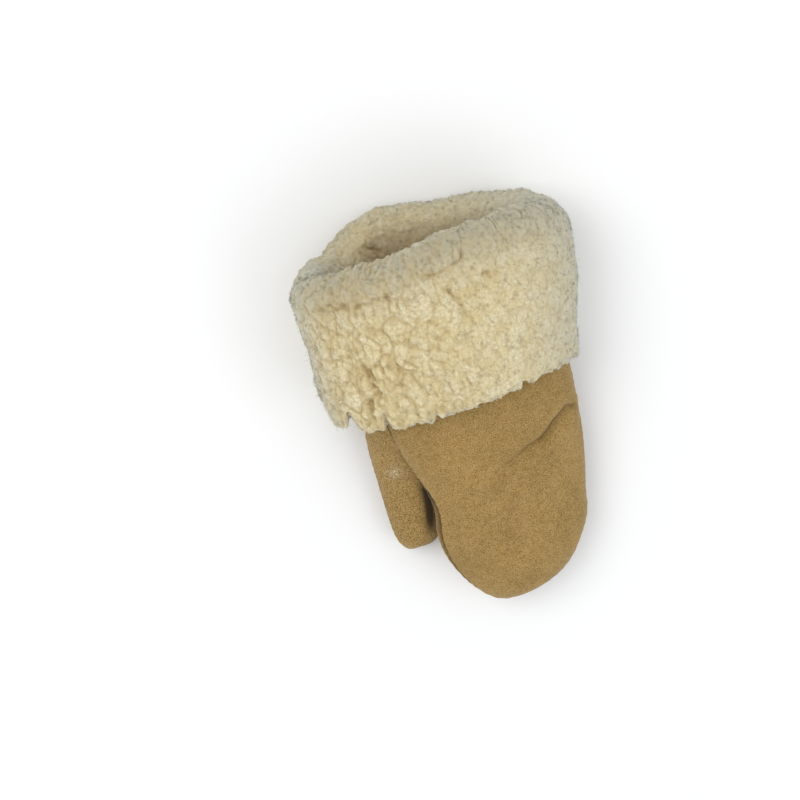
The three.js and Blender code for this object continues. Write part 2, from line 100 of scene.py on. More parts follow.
# along, left, right, low, high, left edge, right edge, left seam, right seam
handTable = [
    (0.000, -0.15, -0.15, 0.44, 0.44, 0.44, 0.44, 0, 0),
    (0.007, -0.32, 0.06, 0.35, 0.53, 0.44, 0.44, 4, 0),
    (0.031, -0.46, 0.33, 0.25, 0.63, 0.44, 0.44, 8, -2),
    (0.075, -0.59, 0.58, 0.15, 0.72, 0.45, 0.43, 10, -5),
    (0.150, -0.73, 0.80, 0.03, 0.81, 0.46, 0.43, 12, -8),
    (0.259, -0.86, 1.00, -0.05, 0.88, 0.49, 0.42, 15, -10),
    (0.381, -0.92, 1.08, -0.07, 0.94, 0.57, 0.43, 17, -10),
    (0.517, -0.91, 1.17, -0.07, 0.99, 0.68, 0.46, 14, -10),
    (0.646, -0.92, 1.23, -0.03, 1.04, 0.76, 0.50, 4, -10),
    (0.769, -1.00, 1.25, 0.05, 1.10, 0.83, 0.56, -4, -8),
    (0.884, -1.08, 1.27, 0.15, 1.18, 0.87, 0.65, -6, -6),
    (1.000, -1.16, 1.27, 0.22, 1.28, 0.89, 0.74, -4, -4),
]
cuffTable = [
    (0.18, -0.84, 0.85, 0.00, 0.88, 0.51, 0.46, -2, -2),
    (0.44, -0.94, 0.88, 0.00, 0.95, 0.52, 0.50, 0, 0),
    (0.73, -0.99, 0.93, 0.00, 0.99, 0.52, 0.52, 0, 0),
    (1.02, -1.00, 0.97, 0.00, 1.02, 0.52, 0.52, 0, 0),
    (1.30, -0.99, 0.98, 0.00, 1.03, 0.52, 0.52, 0, 0),
]
# along, side, wide, rise, thick
thumbTable = [
    (0.000, -1.15, 0.00, 0.39, 0.00), (0.010, -1.14, 0.36, 0.39, 0.19), (0.048, -1.12, 0.58, 0.39, 0.30),
    (0.125, -1.09, 0.75, 0.39, 0.37), (0.255, -1.055, 0.85, 0.40, 0.40), (0.425, -1.02, 0.92, 0.46, 0.43),
    (0.590, -0.99, 0.98, 0.60, 0.47), (0.735, -0.97, 0.99, 0.82, 0.50), (0.870, -0.93, 0.95, 1.05, 0.48),
    (1.000, -0.72, 0.85, 1.18, 0.44),
]
# start x, start y, end x, end y, deep, proud, wide
creaseTable = [
    (1.30, 0.79, 0.10, 0.62, 0.045, 0.030, 0.050),
    (0.25, 0.40, 0.05, 0.26, 0.035, 0.000, 0.170),
    (-0.75, 0.62, -0.30, 0.66, 0.020, 0.010, 0.060),
]
# turn, rim, hem
edgeTable = [
    (0, -0.12, 0.00), (45, 0.00, 0.01), (80, 0.00, -0.02), (120, -0.07, -0.05), (150, -0.10, -0.02),
    (180, -0.12, 0.01), (215, -0.08, 0.00), (240, 0.06, 0.00), (262, 0.06, 0.00), (290, 0.02, 0.00),
    (320, -0.02, 0.00), (360, -0.12, 0.00),
]


def sectionRows(table, start, length, halfWidth, lift, height):
    along, left, right, low, high, leftEdge, rightEdge, leftSeam, rightSeam = np.array(table).T
    leftEdge, rightEdge = lift + leftEdge * height, lift + rightEdge * height
    middle = (leftEdge + rightEdge) / 2
    return np.stack([
        start + along * length, (left + right) / 2 * halfWidth, (right - left) / 2 * halfWidth, middle,
        (rightEdge - leftEdge) / 2, lift + high * height - middle, middle - lift - low * height,
        np.radians(leftSeam), np.radians(rightSeam)], 1)


def thumbSectionRows():
    along, side, wide, rise, thick = np.array(thumbTable).T
    height, none = thick * mitten["thumbThickness"], 0 * along
    return np.stack([
        mitten["thumbTipAlong"] + along * mitten["thumbLength"],
        side * mitten["handWidth"] / 2, wide * mitten["thumbWidth"] / 2,
        rise * mitten["thumbThickness"], none, height, height, none, none], 1)


handRows = np.vstack([
    sectionRows(handTable, 0, mitten["handLength"], mitten["handWidth"] / 2, 0, mitten["handThickness"]),
    sectionRows(cuffTable, mitten["handLength"], mitten["cuffDepth"], mitten["cuffWidth"] / 2,
                mitten["cuffLift"], mitten["cuffThickness"])])
thumbRows = thumbSectionRows()
roundTip = np.array([1, 1, -1, 1, 1, -1, -1, 1, 1])  # half, up and down shrink to nothing at the tip


def smooth(value, low, high):
    share = np.clip((value - low) / (high - low), 0, 1)
    return share * share * (3 - 2 * share)


def blend(a, b, share):
    return a + (b - a) * share


def bell(away, wide):
    return np.exp(-(away / wide) ** 2)


def span(offset):
    return np.linalg.norm(offset, axis=-1)


def sectionAt(rows, place):
    row = np.clip(np.floor(place).astype(int), 0, len(rows) - 2)
    t = (place - row)[..., None]
    b, c = rows[row], rows[row + 1]
    a = np.where((row > 0)[..., None], rows[np.maximum(row - 1, 0)], c * roundTip)
    ahead = rows[np.minimum(row + 2, len(rows) - 1)]
    d = np.where((row + 2 < len(rows))[..., None], ahead, 2 * c - b)
    return b + t * (c - a + t * (2 * a - 5 * b + 4 * c - d + t * (3 * (b - c) + d - a))) / 2


def placeAt(rows, y):
    places = np.linspace(0, len(rows) - 1, 6000)
    return np.interp(y, sectionAt(rows, places)[:, 0], places)


def outlinePoint(rows, place, angle, out):
    out = np.broadcast_to(out, angle.shape)
    at = sectionAt(rows, place)
    before = np.maximum(place - 1e-3, 0)
    change = sectionAt(rows, before + 2e-3) - sectionAt(rows, before)

    def grow(column):
        slope = np.hypot(change[..., 0], change[..., column])
        return np.maximum(at[..., column] + out * change[..., 0] / slope, 0)

    side, rise = np.cos(angle), np.sin(angle)
    slope = np.hypot(change[..., 0], change[..., 2])
    x = at[..., 1] + grow(2) * side
    y = at[..., 0] - out * change[..., 2] / slope
    z = at[..., 3] + at[..., 4] * side + np.where(rise > 0, grow(5), grow(6)) * rise
    return np.stack([x, y, z], -1)


# the hollow of the palm over the thumb: where the crotch is, how far it stays clear of the thumb
# near the root and near the tip, over what lengths that and its end fade, and how it falls beside
thumbBed = {
    "crotch": 0.60, "rootClear": 1.4, "tipClear": 4.4, "clearFade": 40, "endFade": 10,
    "beside": 8, "before": 12, "soft": 3,
}


def overThumb(x, y, depth):
    tip, length = mitten["thumbTipAlong"], mitten["thumbLength"]
    at = sectionAt(thumbRows, placeAt(thumbRows, np.clip(y, tip + 2, tip + length)))
    crotch = tip + thumbBed["crotch"] * length
    endFade = thumbBed["endFade"]
    nearTip = 1 - smooth(y, crotch - thumbBed["clearFade"], crotch - endFade)
    clear = blend(thumbBed["rootClear"], thumbBed["tipClear"], nearTip) + depth
    share = (x - at[..., 1]) / (at[..., 2] + clear)
    dome = np.sqrt(np.maximum(1 - share * share, 0))
    fade = smooth(y, crotch - endFade, crotch + endFade) * 2 * mitten["thumbThickness"]
    bed = at[..., 3] + (at[..., 5] + clear) * dome - fade - np.maximum(tip - y, 0)
    bed = bed - thumbBed["beside"] * np.maximum(np.abs(share) - 1, 0)
    outside = (y < tip - thumbBed["before"]) | (y > tip + length)
    return np.where(outside, -mitten["handWidth"], bed)


def soften(a, b, width):
    share = np.clip(0.5 + 0.5 * (a - b) / width, 0, 1)
    return blend(b, a, share) + width * share * (1 - share)


def creaseHeight(x, y):
    height = 0 * x
    for x0, y0, x1, y1, deep, proud, wide in creaseTable:
        start = np.array([x0 * mitten["handWidth"] / 2, y0 * mitten["handLength"]])
        run = np.array([x1 * mitten["handWidth"] / 2, y1 * mitten["handLength"]]) - start
        fromX, fromY = x - start[0], y - start[1]
        share = np.clip((fromX * run[0] + fromY * run[1]) / (run @ run), 0, 1)
        across = (fromX * run[1] - fromY * run[0]) / np.hypot(*run)
        beyond = np.hypot(fromX - run[0] * share, fromY - run[1] * share)
        width = wide * mitten["handWidth"]
        fade = (1 - 0.6 * share) * mitten["handThickness"]
        # the swell lies two widths beside the crease
        swell = np.exp(-((across + 2 * width) / (1.6 * width)) ** 2 - (beyond / (3 * width)) ** 2)
        height += fade * (proud * swell - deep * bell(beyond, width))
    return height


def edgeRise(column, angle):
    turn = np.degrees(angle) % 360
    turns, rises = np.array(edgeTable)[:, 0], np.array(edgeTable)[:, column]
    row = np.clip(np.searchsorted(turns, turn, side="right"), 1, len(turns) - 1)
    share = smooth(turn, turns[row - 1], turns[row])
    return mitten["cuffDepth"] * blend(rises[row - 1], rises[row], share)


def skinPoint(place, angle, out, lift=0):
    # a point of the mitten, at an angle from the right edge over the back, out from the leather's
    # face, and lifted a little more by its own relief
    point = outlinePoint(handRows, place, angle, out + lift)
    x, y, z = point[..., 0], point[..., 1], point[..., 2]
    length = mitten["handLength"]
    side, rise = np.cos(angle), np.sin(angle)
    pressed = smooth(y, 0.08 * length, 0.2 * length) * smooth(-y, -length, -0.85 * length)
    onBack = z + creaseHeight(x, y) * pressed * np.sqrt(np.maximum(rise, 0))
    z = np.where(rise > 0, onBack, soften(z, overThumb(x, y, -out), thumbBed["soft"]))
    turned = smooth(out, gap, layerGap)
    height = smooth(y, length, length + 0.7 * mitten["cuffDepth"])
    # the hand is pressed in a little beside the thumb's tip
    waist = bell(y - mitten["waistAlong"], mitten["waistWide"])
    x = x + mitten["waist"] * waist * smooth(-side, 0.3, 0.95)
    x = x + mitten["cuffFlare"] * turned * (1 - height) * np.minimum(side, 0)
    x = x - mitten["edgePress"] * np.maximum(out - turnedOut, 0) * (1 - height) * np.maximum(side, 0)
    y = y + edgeRise(1, angle) * height + edgeRise(2, angle) * turned * (1 - height)
    return np.stack([x, y, np.maximum(z, np.maximum(-out, 0))], -1)


def thumbPoint(place, angle, out):
    point = outlinePoint(thumbRows, place, angle, out)
    point[..., 2] = np.maximum(point[..., 2], np.maximum(-out, 0))
    return point


# lumps and locks: cells and soft waves from one fixed hash, the same on every run
def scatter(cell, seed):
    mask = np.uint64(0xffffffff)
    cell = cell.astype(np.int64).astype(np.uint64) & mask
    mix = (cell[..., 0] * np.uint64(73856093) ^ cell[..., 1] * np.uint64(19349663)
           ^ cell[..., 2] * np.uint64(83492791) ^ np.uint64(seed * 40503)) & mask
    numbers = []
    for _ in range(3):
        mix = (mix ^ (mix >> np.uint64(15))) * np.uint64(0x85ebca6b) & mask
        mix = (mix ^ (mix >> np.uint64(13))) * np.uint64(0xc2b2ae35) & mask
        numbers.append(((mix >> np.uint64(8)) & np.uint64(0xffff)) / 65535.0)
    return np.stack(numbers, -1)


def lumps(points, size, seed):
    # distance to the nearest and to the next lump, in lumps
    at = points / np.array(size, float)
    home = np.floor(at)
    first = np.full(at.shape[:-1], 9.0)
    second = first
    for step in np.ndindex(3, 3, 3):
        cell = home + np.array(step) - 1
        away = span(cell + scatter(cell, seed) - at)
        second = np.where(away < first, first, np.minimum(second, away))
        first = np.minimum(first, away)
    return first, second


def waves(points, size, seed):
    # a soft wave between -1 and 1
    at = points / np.array(size, float)
    home = np.floor(at)
    inside = at - home
    inside = inside * inside * (3 - 2 * inside)
    total = 0
    for step in np.ndindex(2, 2, 2):
        weight = np.prod(np.where(np.array(step), inside, 1 - inside), axis=-1)
        total = total + weight * scatter(home + np.array(step), seed)[..., 0]
    return total * 2 - 1


def swirl(points, size, amount, seed):
    moved = [waves(points, size, seed + k) for k in range(3)]
    return points + amount * np.stack(moved, -1)


# rings of points into closed meshes
def shortStrip(ring, firstSide):
    faces = []
    a, b = 0, len(ring) - 1
    while a < firstSide - 1 or b > firstSide:
        ahead = np.linalg.norm(ring[a + 1] - ring[b]) if a < firstSide - 1 else math.inf
        behind = np.linalg.norm(ring[a] - ring[b - 1]) if b > firstSide else math.inf
        if ahead < behind:
            faces.append((a, a + 1, b))
            a += 1
        else:
            faces.append((a, b - 1, b))
            b -= 1
    return faces


def closedPiece(name, rings, marks=None, firstSide=0):
    # rings: turns x profile x 3. A whole grid comes round to its start, and a panel is closed
    # at both ends between the two sides of its profile. Marks are given for the first columns.
    turns, count = rings.shape[:2]
    index = np.arange(turns * count).reshape(turns, count)
    here, there = (index[:-1], index[1:]) if firstSide else (index, np.roll(index, -1, 0))
    quads = np.stack([here, np.roll(here, -1, 1), np.roll(there, -1, 1), there], -1).reshape(-1, 4)
    faces = quads.tolist()
    if firstSide:
        end = (turns - 1) * count
        faces += [(a, c, b) for a, b, c in shortStrip(rings[0], firstSide)]
        faces += [(end + a, end + b, end + c) for a, b, c in shortStrip(rings[-1], firstSide)]
    mesh = bpy.data.meshes.new(name)
    mesh.from_pydata(((rings.reshape(-1, 3) + shift) * 0.001).tolist(), [], faces)
    for label, values in (marks or {}).items():
        full = np.zeros((turns, count), np.float32)
        full[:, :values.shape[-1]] = values
        mesh.attributes.new(label, "FLOAT", "POINT").data.foreach_set("value", full.ravel())
    body = bmesh.new()
    body.from_mesh(mesh)
    bmesh.ops.remove_doubles(body, verts=body.verts, dist=2e-6)
    bmesh.ops.dissolve_degenerate(body, edges=body.edges, dist=1e-6)
    loose = [edge for edge in body.edges if not edge.link_faces]  # left where a pole closes on itself
    bmesh.ops.delete(body, geom=loose, context="EDGES")
    bmesh.ops.recalc_face_normals(body, faces=body.faces)
    body.to_mesh(mesh)
    body.free()
    mesh.polygons.foreach_set("use_smooth", [True] * len(mesh.polygons))
    mesh.set_sharp_from_angle(angle=math.radians(60))
    return addObject(name, mesh)


def cutAway(piece, cutter):
    cut = piece.modifiers.new("cut", "BOOLEAN")
    cut.operation = "DIFFERENCE"
    cut.solver = "MANIFOLD"
    cut.object = cutter
    made = bpy.data.meshes.new_from_object(piece.evaluated_get(bpy.context.evaluated_depsgraph_get()))
    piece.modifiers.clear()
    old = piece.data
    piece.data = made
    bpy.data.meshes.remove(old)


def keepLargest(piece):
    body = bmesh.new()
    body.from_mesh(piece.data)
    left = set(body.verts)
    best = []
    while left:
        seen = {left.pop()}
        edge = list(seen)
        while edge:
            for link in edge.pop().link_edges:
                for vert in link.verts:
                    if vert not in seen:
                        seen.add(vert)
                        edge.append(vert)
        left -= seen
        best = max(best, seen, key=len)
    bmesh.ops.delete(body, geom=[v for v in body.verts if v not in best], context="VERTS")
    body.to_mesh(piece.data)
    body.free()


def seamAngles(place, upper):
    at = sectionAt(handRows, place)
    right, left = at[..., 8], math.pi - at[..., 7]
    return (right, left) if upper else (left, 2 * math.pi + right)


def setApart(points, upper):
    # half of the gap between the pieces above and below a seam, and nothing under the ground
    nudge = gap / 2 if upper else -gap / 2
    points[..., 2] = np.maximum(points[..., 2] + nudge, 0)
    return points


def acrossPanel(place, out, columns, upper, lift=0):
    # points of a panel: a row for each step across, a column for each profile point
    start, end = seamAngles(place, upper)
    angle = blend(start, end, np.linspace(0, 1, columns + 1)[:, None])
    return setApart(skinPoint(place, angle, out, lift), upper)


def endToEnd(*parts):
    # each part has its places, how far out they are and so on
    return [np.concatenate([0 * part[0] + value for part, value in zip(parts, values)])
            for values in zip(*parts)]


def foldBend(outs, steps):
    turn = np.linspace(0, math.pi, steps + 1)
    radius = (outs[0] - outs[1]) / 2
    place = placeAt(handRows, crown + abs(radius) * np.sin(turn))
    return place, (outs[0] + outs[1]) / 2 + radius * np.cos(turn)


def fromEdges(points):
    # how far each point is from the two seams of its panel
    steps = span(np.diff(points, axis=0))
    walked = np.vstack([np.zeros(points.shape[1]), np.cumsum(steps, 0)])
    return walked, walked[-1] - walked


def allRound(place, turns, out):
    # the hand's points all round, seam to seam over the back and on over the palm
    shares = np.linspace(0, 1, turns + 1)[:-1]
    halves = []
    for upper in (True, False):
        start, end = seamAngles(place, upper)
        angle = blend(start, end, shares[:, None])
        halves.append(skinPoint(place, angle, out))
    return np.concatenate(halves)


def filled(name, rings):
    middle = np.broadcast_to(rings[:, -1].mean(0), (len(rings), 1, 3))
    return closedPiece(name, np.concatenate([rings, middle], 1))


def filledHand(out, turns, steps):
    # a solid hand, to cut the thumb's root along the palm
    return filled("handCutter", allRound(np.linspace(0, placeAt(handRows, innerEnd), steps), turns, out))


def filledThumb(out, turns, steps):
    # a solid thumb, to cut its hole in the palm and the lining
    place = np.linspace(0, len(thumbRows) - 1, steps)
    angle = np.linspace(0, 2 * math.pi, turns + 1)[:-1, None] + 0 * place
    return filled("thumbCutter", thumbPoint(place, angle, out))


# suede of the back and the palm. The fold has a bank on the wrist's side and a finer second line
# on the fingertips' side, both placed by how far they are from it. Pairs are for palm and back.
suede = {
    "columns": (130, 190), "steps": (140, 210), "innerSteps": 34,
    "hiddenSteps": 14, "turnedSteps": 12, "fineEnd": 14, "hiddenFrom": 4, "hiddenTo": 12,
    "seamDip": 1.1, "seamDipWide": 1.0, "seamRoll": 0.45, "seamRollAt": 2.8, "seamRollWide": 1.7,
    "pucker": 0.22, "puckerLength": 6.5, "puckerReach": 5.0, "dentSize": 38, "dentDeep": 0.7,
    "rippleSize": 13, "rippleDeep": 0.14, "foldDeep": 1.2, "foldWide": 1.1, "foldRise": 0.65,
    "bankAt": 3.2, "bankWide": 2.4, "secondAt": 2.1, "secondWide": 0.7, "secondShare": 0.35,
    "secondSize": 7.0, "shadeWide": 5.0, "scratchWide": 0.6, "wander": 0.5, "wanderSize": 4.0,
    "patchSize": 5.0, "dentShade": 0.3, "dentWide": 5.5, "seamWear": 1.6, "dentFade": 12,
    "creviceWide": 3.2, "creviceShade": 1.3,
}
# the fold across the back, from the little finger's edge to where it fades out: x, y, how strong
foldLine = [
    (59.9, -16.1, 0.9), (54.7, -13.3, 0.8), (49.7, -16.1, 1), (44.9, -18.7, 1), (41.5, -21.4, 1),
    (34.6, -25.5, 0.9), (25.4, -27.6, 0.7), (16.5, -31.4, 0.45), (5, -36, 0.15), (-6, -40, 0),
]
# a faint scratch on the back, and the painted shade of the crevice between the palm and the thumb
scratchLine = [(36.2, -38.6, 0.4), (37.4, -37.4, 0.9), (39.6, -36.4, 0.3)]
creviceLine = [
    (-41, -34, 0.2), (-41.6, -43, 0.9), (-42, -52, 1), (-43.6, -62, 1), (-44.8, -68, 0.7),
    (-46, -76, 0),
]
# painted soft shade along dents that go on from the end of the fold
dentLines = [
    [(12, -37, 0.5), (2.9, -43.2, 1), (-4, -52, 0.6), (-8, -58, 0)],
    [(8.5, -52, 0), (6.8, -58.6, 0.7), (-0.2, -79.5, 0.9), (-4, -90, 0)],
]


def alongLine(points, line):
    # how far each point is from a line of (x, y, strength), with its strength and side there
    line = np.array(line)
    best, strength, side = np.full(points.shape[:-1], 999.0), 0, 0
    for start, end in zip(line[:-1], line[1:]):
        run = end[:2] - start[:2]
        offset = points[..., :2] - start[:2]
        share = np.clip(offset @ run / (run @ run), 0, 1)
        away = span(offset - share[..., None] * run)
        nearer = away < best
        turn = np.sign(offset[..., 1] * run[0] - offset[..., 0] * run[1])
        strength = np.where(nearer, blend(start[2], end[2], share), strength)
        side = np.where(nearer, turn, side)
        best = np.where(nearer, away, best)
    return best, strength, side


def seamShape(distance, along, look):
    dip = -look["seamDip"] * bell(distance, look["seamDipWide"])
    roll = look["seamRoll"] * bell(distance - look["seamRollAt"], look["seamRollWide"])
    gathers = np.sin(2 * math.pi * along / look["puckerLength"] + 1.3 * np.sin(along / 5.1))
    return dip + roll + look["pucker"] * gathers * np.exp(-distance / look["puckerReach"])


def softRelief(points, distance, along, look, seed):
    relief = seamShape(distance, along, look)
    dents = look["dentDeep"] * waves(points, look["dentSize"], seed)
    relief += dents * smooth(distance, 0, look["dentFade"])
    return relief + look["rippleDeep"] * waves(points, look["rippleSize"], seed + 1)


def foldMarks(points):
    # relief of the fold across the back, the painted shade in it, in its second line and beside it, and the
    # scratch's own dark
    size = suede["wanderSize"]
    wander = [waves(points, size, 13), waves(points, size, 14), 0 * points[..., 0]]
    seen = points + shift
    seen = seen + suede["wander"] * np.stack(wander, -1)
    away, strength, side = alongLine(seen, foldLine)
    groove = strength * bell(away, suede["foldWide"])
    bank = strength * bell(away - suede["bankAt"], suede["bankWide"]) * np.clip(-side, 0, 1)
    second = strength * bell(away - suede["secondAt"], suede["secondWide"]) * np.clip(side, 0, 1)
    second = second * smooth(waves(points, suede["secondSize"], 15), -0.3, 0.3)
    shade = strength * bell(away, suede["shadeWide"]) * np.clip(side, 0.1, 1)
    scratched, scratch, _ = alongLine(seen, scratchLine)
    # painted shade in the groove, along its second line and beside it, and along the dents; the scratch is a
    # real mark
    darks = [groove, 0.7 * second, 0.5 * shade, scratch * bell(scratched, suede["scratchWide"])]
    patchy = 0.75 + 0.25 * waves(points, suede["patchSize"], 16)
    for line in dentLines:
        away, strength, _ = alongLine(seen, line)
        darks.append(suede["dentShade"] * strength * patchy * bell(away, suede["dentWide"]))
    return suede["foldDeep"] * (groove + suede["secondShare"] * second), suede["foldRise"] * bank, darks


def suedeRelief(points, upper):
    distance = np.minimum(*fromEdges(points))
    run = span(np.diff(points, axis=1, prepend=points[:, :1]))
    relief = softRelief(points, distance, np.cumsum(run, 1), suede, 11)
    # darker along the seams, and on the back also the fold's painted shade and the scratch
    wearAndShade = bell(distance, suede["seamWear"])
    if upper:
        sunk, raised, darks = foldMarks(points)
        relief = relief - sunk + raised
        for dark in darks:
            wearAndShade = np.maximum(wearAndShade, dark)
    # painted shade of the crevice, on the palm only
    paintedCreviceShade = creviceShade(points) * (not upper)
    return relief, wearAndShade, paintedCreviceShade


# painted shade of the crevice between the palm and the thumb, strongest along its line
def creviceShade(points):
    away, strength, _ = alongLine(points + shift, creviceLine)
    return np.minimum(suede["creviceShade"] * strength * bell(away, suede["creviceWide"]), 1)


def makeSuedePanel(name, upper):
    columns, steps = suede["columns"][upper], suede["steps"][upper]
    # the outer face is fine as far as it shows, and coarse where the cuff's wool hides it
    hemPlace = placeAt(handRows, cuffEdge + suede["fineEnd"])
    mouthPlace = placeAt(handRows, bendStart)
    edgePlace = placeAt(handRows, turnedEdge)
    hiddenPlace = np.linspace(hemPlace, mouthPlace, suede["hiddenSteps"])[1:]
    facePlace = np.concatenate([np.linspace(0, hemPlace, steps), hiddenPlace])
    bendPlace, bendOut = foldBend((0, layerGap), 6)
    turnedPlace = np.linspace(mouthPlace, edgePlace, suede["turnedSteps"])
    backPlace, backOut = foldBend((turnedOut, -leather), 8)
    innerPlace = np.linspace(mouthPlace, 0, suede["innerSteps"])
    place, out = endToEnd(
        (facePlace, 0), (bendPlace, bendOut), (turnedPlace, layerGap), (turnedPlace[::-1], turnedOut),
        (backPlace, backOut), (innerPlace, -leather))
    rings = acrossPanel(place, out, columns, upper)
    face = slice(0, len(facePlace))
    relief, wearAndShade, paintedCreviceShade = suedeRelief(rings[:, face], upper)
    y = rings[0, face, 1]
    shown = 1 - smooth(y, cuffEdge + suede["hiddenFrom"], cuffEdge + suede["hiddenTo"])
    rings[:, face] = acrossPanel(facePlace, 0, columns, upper, relief * shown)
    firstSide = len(facePlace) + len(bendPlace) + len(turnedPlace)
    return closedPiece(name, rings, {"wearAndShade": wearAndShade, "paintedCreviceShade": paintedCreviceShade}, firstSide)


# suede of the thumb, in two faces that meet in a turned seam round its edge
thumb = {
    "turns": 84, "steps": 120, "seamDip": 1.0, "seamDipWide": 0.9, "seamRoll": 0.5, "seamRollAt": 2.6,
    "seamRollWide": 1.6, "pucker": 0.24, "puckerLength": 5.2, "puckerReach": 4.5,
    "dentSize": 24, "dentDeep": 0.6, "rippleSize": 9, "rippleDeep": 0.16, "dentFade": 9,
    "seamWear": 1.5, "tipFiner": 0.9, "scuffAt": (-56.4, -25.4), "scuffWide": 4.2,
}


def makeThumbFace(name, upper, handCutter):
    start, end = (0, math.pi) if upper else (math.pi, 2 * math.pi)
    place = (np.linspace(0, 1, thumb["steps"]) ** thumb["tipFiner"]) * (len(thumbRows) - 1)
    angle = np.linspace(start, end, thumb["turns"] + 1)[:, None] + 0 * place
    points = thumbPoint(place, angle, 0)
    distance = np.minimum(*fromEdges(points))
    relief = softRelief(points, distance, points[..., 1], thumb, 21)
    face = thumbPoint(place, angle, relief)
    inner = thumbPoint(place, angle, -leather)
    # the shell runs out along its outside and back along its inside
    rings = setApart(np.concatenate([face, inner[:, ::-1]], 1), upper)
    fromScuff = span((points + shift)[..., :2] - np.array(thumb["scuffAt"]))
    # marks: darker seams, the rubbed scuff, and the painted shade of the crevice
    marks = {
        "wearAndShade": bell(distance, thumb["seamWear"]), "scuff": bell(fromScuff, thumb["scuffWide"]),
        "paintedCreviceShade": creviceShade(points),
    }
    piece = closedPiece(name, rings, marks, thumb["steps"])
    cutAway(piece, handCutter)
    keepLargest(piece)
    return piece


# wool inside the hand
lining = {
    "turns": 60, "steps": 100, "lockSize": (5, 8, 5), "lockDeep": 1.5, "curlSize": 2.4, "curlDeep": 0.5,
    "swirlSize": 8, "swirl": 1.5, "raised": 0.6, "flatTip": 10, "fullTip": 24, "belowWool": 1.5,
}


def makeLining(name):
    place = np.linspace(0, placeAt(handRows, innerEnd - lining["belowWool"]), lining["steps"])
    back = allRound(place, lining["turns"], mouthBack)
    base = allRound(place, lining["turns"], -leather - mitten["liningPile"])
    moved = swirl(base, lining["swirlSize"], lining["swirl"], 31)
    near, _ = lumps(moved, lining["lockSize"], 32)
    fine, _ = lumps(moved, lining["curlSize"], 33)
    height = lining["lockDeep"] * (0.5 - near) + lining["curlDeep"] * (0.5 - fine)
    inward = (base - back) / np.linalg.norm(base - back, axis=-1, keepdims=True)
    tipFade = smooth(base[..., 1], lining["flatTip"], lining["fullTip"])[..., None]
    base = base + inward * (height[..., None] + lining["raised"]) * tipFade
    # painted shade between the locks
    deep = np.clip(near * 1.3 - 0.2, 0, 1)
    rings = np.concatenate([base, back[:, ::-1]], 1)
    blank = np.zeros(rings.shape[:2])
    marks = {
        # the lining lies all in the mouth's painted shade
        "deep": np.concatenate([deep, deep], 1), "mouth": blank + 1, "inner": blank + 1,
        "rim": blank, "edge": blank,
    }
    return closedPiece(name, rings, marks)


# wool of the turned-back cuff: up from its ragged edge, over the rim and down the mouth. The last
# row has lengths along that way: the rim, how wide it and the hem are, and from where to where
# the locks get finer, the mouth's painted shade sets in and the deeper painted shade of its bottom sets in.
wool = {
    "columns": (250, 400), "hemSteps": 12, "outsideSteps": 110, "rollSteps": 54,
    "insideSteps": 36, "swirlSize": 11, "swirl": 3.0, "fineSwirlSize": 3.2, "fineSwirl": 0.9,
    "clumpSize": (9, 15, 9), "clumpDeep": 1.0, "lockSize": (4.6, 7.0, 4.6), "lockDeep": 1.0,
    "curlSize": (2.1, 2.6, 2.1), "curlDeep": 0.4, "fineSize": 1.0, "fineDeep": 0.16,
    "tuftWide": 7.6, "tuftLong": 15.0, "tuftDeep": 3.2, "tuftEnds": (1, 9), "tuftShare": (0.6, 1.0),
    "hemLobe": 6.0, "hemRagged": 2.4, "hemRipple": 1.2, "hemLower": 1.4, "hemReach": (1, 15),
    "partingDeep": 1.7, "partingWide": 1.6, "littleRough": 0.42, "littleSide": (-45, 62),
    "mouthFiner": 0.45, "endShade": 19, "littleShade": 42,
    "rim": 110, "rimWide": 21, "hem": 5, "finer": (118, 140), "mouth": (117, 154), "inner": (124, 156),
}
# partings and hollows pressed into the wool: lines of x, y and how strong
partings = [
    [(-56.5, 62.5, 1.1), (-53, 52, 1.4), (-51.7, 42.9, 1.5), (-55.5, 36, 1.4), (-59.2, 28, 1.1)],
    [(-77, 97, 0.7), (-64, 98.5, 0.8), (-44.6, 96, 0.9), (-36, 98.5, 0.7),
     (-30.8, 97, 0.9), (-30, 88, 0.5)],
    [(-9, 104.5, 0.5), (3, 104, 0.9), (12.3, 105.7, 1), (18, 111, 0.9)],
    [(20, 99, 0.7), (25, 96, 1), (31, 92.5, 0.8)],
    [(2, 95, 0.3), (4.5, 90.9, 0.8), (9.8, 77, 0.7), (12, 70, 0.2)],
    [(62, 50, 0.5), (66.5, 55.1, 1), (73, 59.5, 1)],
    [(-34, 72, 0.3), (-36, 60, 0.6), (-34.5, 49, 0.5), (-38, 36, 0.2)],
]
palmPartings = [
    [(-33.5, 114.5, 0.6), (-29.1, 111.6, 1.3), (-27.1, 107.3, 1.7), (-26.1, 104.4, 1.7), (-26, 98, 0.8)],
]
# soft swells and hollows of the rim: x, y, z, how wide, how high
backSwells = [(-26.6, 117, 81, 3.5, -2.2), (-36, 116, 75, 5, 1.2), (-17, 119, 83, 5, 1.2)]
palmSwells = [
    (-64, 115, 37, 11, 4.0), (-42, 125, 19, 7, -3.2), (-21, 128, 12, 13, 2.8), (8, 128, 12, 9, -1.0),
]
# notches in the ragged lower edge over the back: x, how deep, how wide
notches = [(-71.5, 10.0, 2.6), (-51.5, 5.5, 2.0), (-22.0, 2.0, 2.0), (33.0, 2.5, 2.2)]


